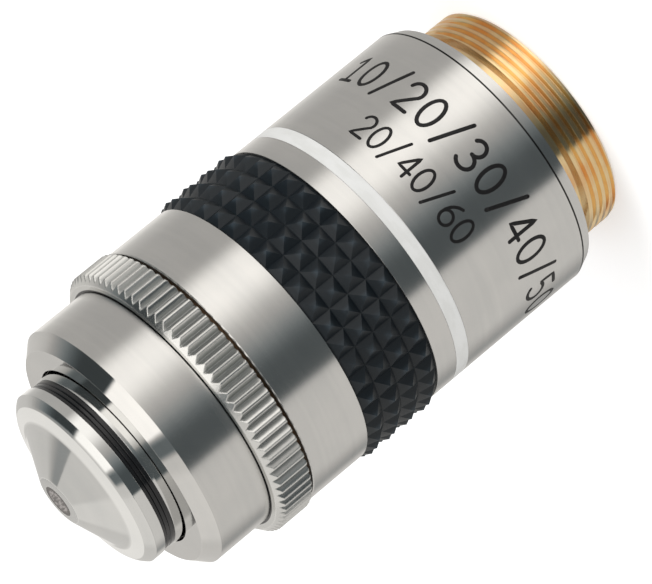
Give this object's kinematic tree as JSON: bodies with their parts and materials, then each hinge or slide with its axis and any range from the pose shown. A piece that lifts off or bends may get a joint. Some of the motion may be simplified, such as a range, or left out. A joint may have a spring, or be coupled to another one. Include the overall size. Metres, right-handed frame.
{
  "type": "microscope objective",
  "caption": "Oil immersion microscope objective with a sprung nose, a knurled iris control ring, a leaf iris and a standard mounting thread.",
  "frame": {"origin": "on the optical axis in the plane of the mounting shoulder", "axes": "+Z along the optical axis towards the front lens, the mounting thread reaches down to -Z"},
  "size_m": [0.025, 0.025, 0.0494],
  "materials": {
    "barrel_chrome": "satin chrome plating, turned along the circumference",
    "nose_chrome": "bright plated and polished nose",
    "ring_chrome": "satin plated knurl, darker in its grooves",
    "thread_brass": "bare turned brass",
    "washer_brass": "bare brass",
    "grip_rubber": "matt black moulded rubber",
    "white_paint": "white filled code ring",
    "black_paint": "gloss black code ring",
    "black_anodised": "matt blackened metal against stray light",
    "cell_brass": "turned brass lens cells",
    "spring_steel": "drawn spring wire",
    "pin_steel": "ground steel pins",
    "iris_steel": "blued thin steel leaves",
    "lens_glass": "polished optical glass",
    "front_glass": "polished front lens over a dark bore"
  },
  "bodies": {
    "barrel": {"outer_barrel": "barrel_chrome", "thread_mount": "thread_brass", "rear_baffle": "black_anodised", "code_ring": "white_paint", "rubber_grip": "grip_rubber", "guide_pin": "pin_steel", "spring_seat_ring": "cell_brass", "return_spring": "spring_steel", "front_sleeve": "barrel_chrome", "friction_washer": "washer_brass"},
    "control_ring": {"control_ring": "ring_chrome", "drive_pin": "pin_steel"},
    "nose": {"lens_tube": "nose_chrome", "iris_base_plate": "black_anodised", "iris_ring_nut": "black_anodised", "rear_cell": "cell_brass", "rear_crown_lens": "lens_glass", "rear_flint_lens": "lens_glass", "spacer_ring": "black_anodised", "middle_cell": "cell_brass", "middle_crown_lens": "lens_glass", "middle_flint_lens": "lens_glass", "front_cell": "cell_brass", "meniscus_lens": "lens_glass", "nose_cap": "nose_chrome", "front_lens": "front_glass", "oil_ring": "black_paint"},
    "iris_rotor": {"iris_rotor": "black_anodised"},
    "iris_blade_1": {"iris_blade_1": "iris_steel"},
    "iris_blade_2": {"iris_blade_2": "iris_steel"},
    "iris_blade_3": {"iris_blade_3": "iris_steel"},
    "iris_blade_4": {"iris_blade_4": "iris_steel"},
    "iris_blade_5": {"iris_blade_5": "iris_steel"},
    "iris_blade_6": {"iris_blade_6": "iris_steel"},
    "iris_blade_7": {"iris_blade_7": "iris_steel"},
    "iris_blade_8": {"iris_blade_8": "iris_steel"}
  },
  "joints": [
    {"name": "nose_slide", "type": "slide", "parent": "barrel", "child": "nose", "axis": [0, 0, -1], "range_m": [0, 0.002], "stiffness_N_per_m": 250, "springref_m": -0.005, "deforming": ["return_spring"]},
    {"name": "ring_turn", "type": "hinge", "parent": "barrel", "child": "control_ring", "pos_m": [0, 0, 0.0315], "axis": [0, 0, 1], "range_deg": [0, 40]},
    {"name": "rotor_turn", "type": "hinge", "parent": "nose", "child": "iris_rotor", "pos_m": [0, 0, 0.0315], "axis": [0, 0, 1], "range_deg": [0, 40]},
    {"name": "blade_1_turn", "type": "hinge", "parent": "nose", "child": "iris_blade_1", "pos_m": [0.005, 0, 0.0294], "axis": [0, 0, 1], "range_deg": [0, 16]},
    {"name": "blade_2_turn", "type": "hinge", "parent": "nose", "child": "iris_blade_2", "pos_m": [0.00354, 0.00354, 0.0294], "axis": [0, 0, 1], "range_deg": [0, 16]},
    {"name": "blade_3_turn", "type": "hinge", "parent": "nose", "child": "iris_blade_3", "pos_m": [0, 0.005, 0.0294], "axis": [0, 0, 1], "range_deg": [0, 16]},
    {"name": "blade_4_turn", "type": "hinge", "parent": "nose", "child": "iris_blade_4", "pos_m": [-0.00354, 0.00354, 0.0294], "axis": [0, 0, 1], "range_deg": [0, 16]},
    {"name": "blade_5_turn", "type": "hinge", "parent": "nose", "child": "iris_blade_5", "pos_m": [-0.005, 0, 0.0294], "axis": [0, 0, 1], "range_deg": [0, 16]},
    {"name": "blade_6_turn", "type": "hinge", "parent": "nose", "child": "iris_blade_6", "pos_m": [-0.00354, -0.00354, 0.0294], "axis": [0, 0, 1], "range_deg": [0, 16]},
    {"name": "blade_7_turn", "type": "hinge", "parent": "nose", "child": "iris_blade_7", "pos_m": [0, -0.005, 0.0294], "axis": [0, 0, 1], "range_deg": [0, 16]},
    {"name": "blade_8_turn", "type": "hinge", "parent": "nose", "child": "iris_blade_8", "pos_m": [0.00354, -0.00354, 0.0294], "axis": [0, 0, 1], "range_deg": [0, 16]}
  ],
  "couplings": [
    {"joint": "rotor_turn", "follows": "ring_turn", "ratio": 1},
    {"joint": "blade_1_turn", "follows": "ring_turn", "ratio": 0.4},
    {"joint": "blade_2_turn", "follows": "ring_turn", "ratio": 0.4},
    {"joint": "blade_3_turn", "follows": "ring_turn", "ratio": 0.4},
    {"joint": "blade_4_turn", "follows": "ring_turn", "ratio": 0.4},
    {"joint": "blade_5_turn", "follows": "ring_turn", "ratio": 0.4},
    {"joint": "blade_6_turn", "follows": "ring_turn", "ratio": 0.4},
    {"joint": "blade_7_turn", "follows": "ring_turn", "ratio": 0.4},
    {"joint": "blade_8_turn", "follows": "ring_turn", "ratio": 0.4}
  ]
}
